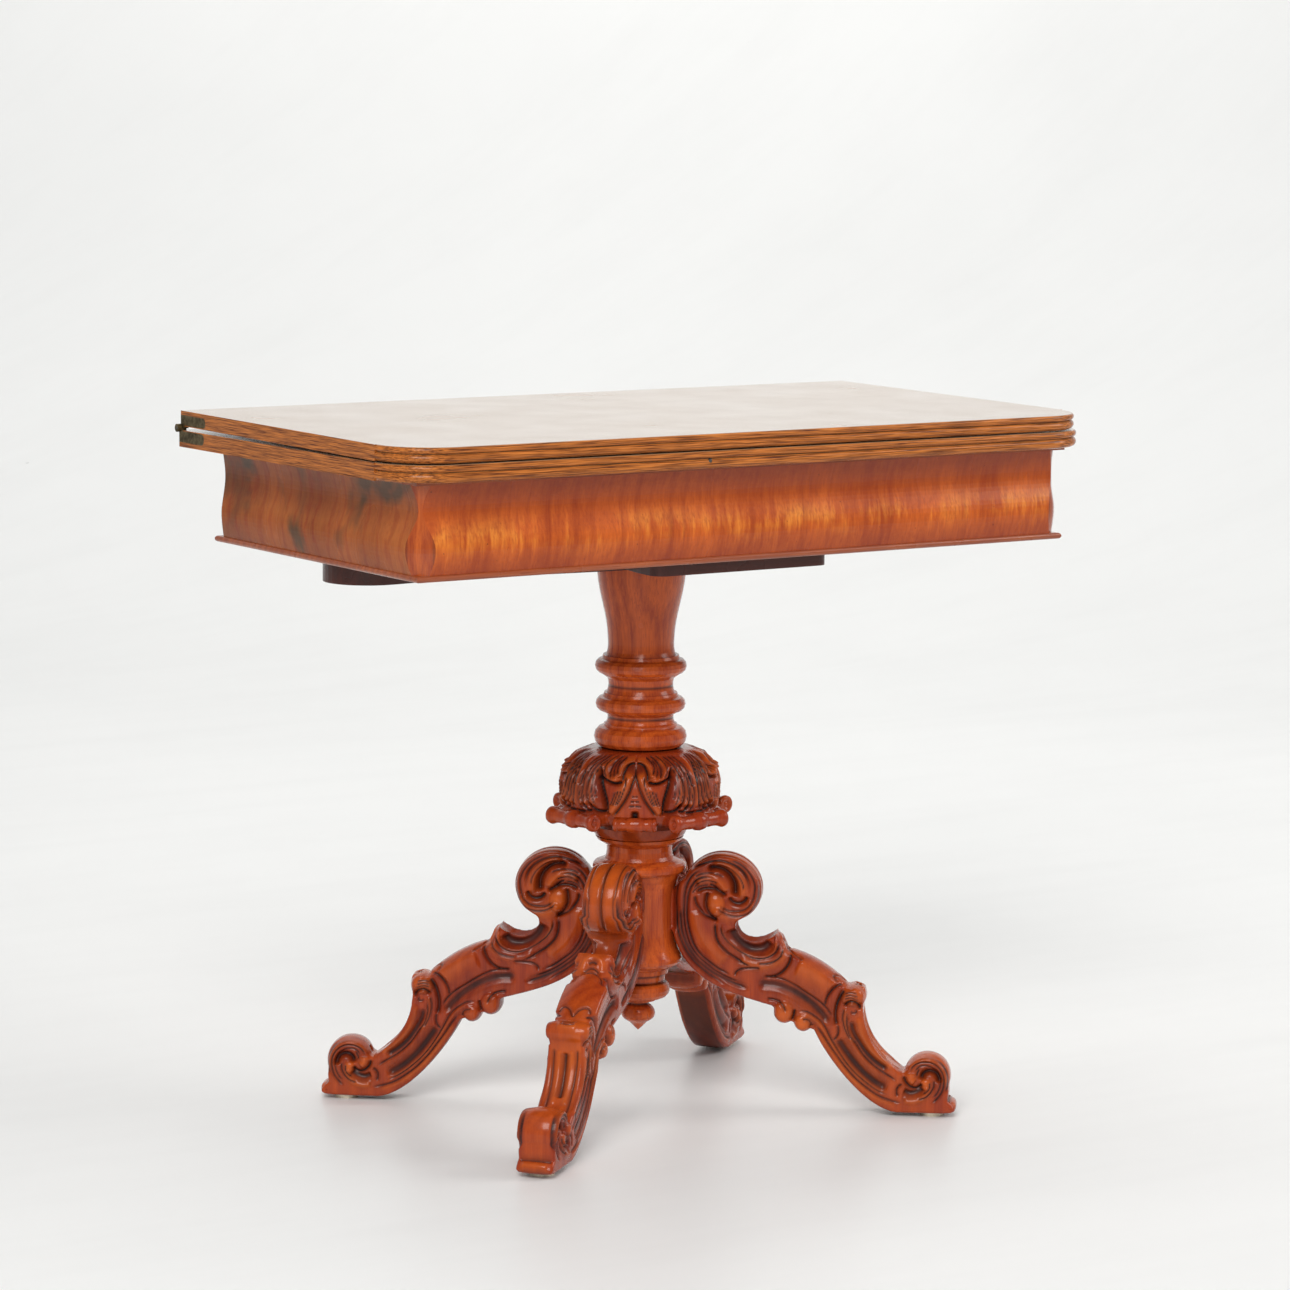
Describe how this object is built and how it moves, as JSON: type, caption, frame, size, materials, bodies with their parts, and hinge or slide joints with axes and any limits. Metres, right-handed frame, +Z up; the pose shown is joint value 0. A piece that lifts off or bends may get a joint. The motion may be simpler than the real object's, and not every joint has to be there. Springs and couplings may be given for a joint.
{
  "type": "folding games table",
  "caption": "Fold-over games table: hinged double top that swivels over a card well, ogee frieze, turned column with carved bulb, four scroll legs.",
  "frame": {"origin": "on the floor under the middle of the column", "axes": "+Z up, +X along the long side, the front frieze faces -Y and the leaves are hinged along the +Y edge"},
  "size_m": [0.876, 0.4795, 0.7625],
  "materials": {
    "top_veneer": "french polished",
    "flame_veneer": "french polished, flame figure",
    "frame_wood": "polished",
    "carved_wood": "polished, darker in the carving",
    "under_wood": "dull",
    "baize": "felted wool",
    "aged_brass": "tarnished",
    "steel": "dull"
  },
  "bodies": {
    "base": {"frieze_front": "flame_veneer", "frieze_back": "flame_veneer", "frieze_left": "flame_veneer", "frieze_right": "flame_veneer", "corner_blocks": "flame_veneer", "cap_fillet": "frame_wood", "bottom_bead": "frame_wood", "box_floor": "under_wood", "well_partition": "under_wood", "pivot_rail": "under_wood", "long_bearer": "under_wood", "cross_bearer": "under_wood", "bearer_screws": "steel", "column_shaft": "carved_wood", "carved_bulb": "carved_wood", "leg_hub": "carved_wood", "drop_finial": "carved_wood", "leg_front_left": "carved_wood", "leg_front_right": "carved_wood", "leg_back_left": "carved_wood", "leg_back_right": "carved_wood", "leg_screws": "aged_brass", "glides": "aged_brass", "glide_nails": "steel"},
    "top_lower": {"leaf_lower": "top_veneer", "baize_lower": "baize", "hinge_plates_lower": "aged_brass", "hinge_pins": "steel", "hinge_screws_lower": "aged_brass", "edge_pin": "steel", "pivot_bolt": "steel", "pivot_screws": "steel", "pivot_washer": "steel", "pivot_nut": "steel", "stop_peg": "under_wood"},
    "top_upper": {"leaf_upper": "top_veneer", "baize_upper": "baize", "hinge_plates_upper": "aged_brass", "hinge_screws_upper": "aged_brass"}
  },
  "joints": [
    {"name": "top_swivel", "type": "hinge", "parent": "base", "child": "top_lower", "pos_m": [0.11875, 0.11875, 0.724], "axis": [0, 0, 1], "range_deg": [0, 90]},
    {"name": "leaf_fold", "type": "hinge", "parent": "top_lower", "child": "top_upper", "pos_m": [0, 0.23775, 0.744], "axis": [-1, 0, 0], "range_deg": [0, 180.36]}
  ]
}
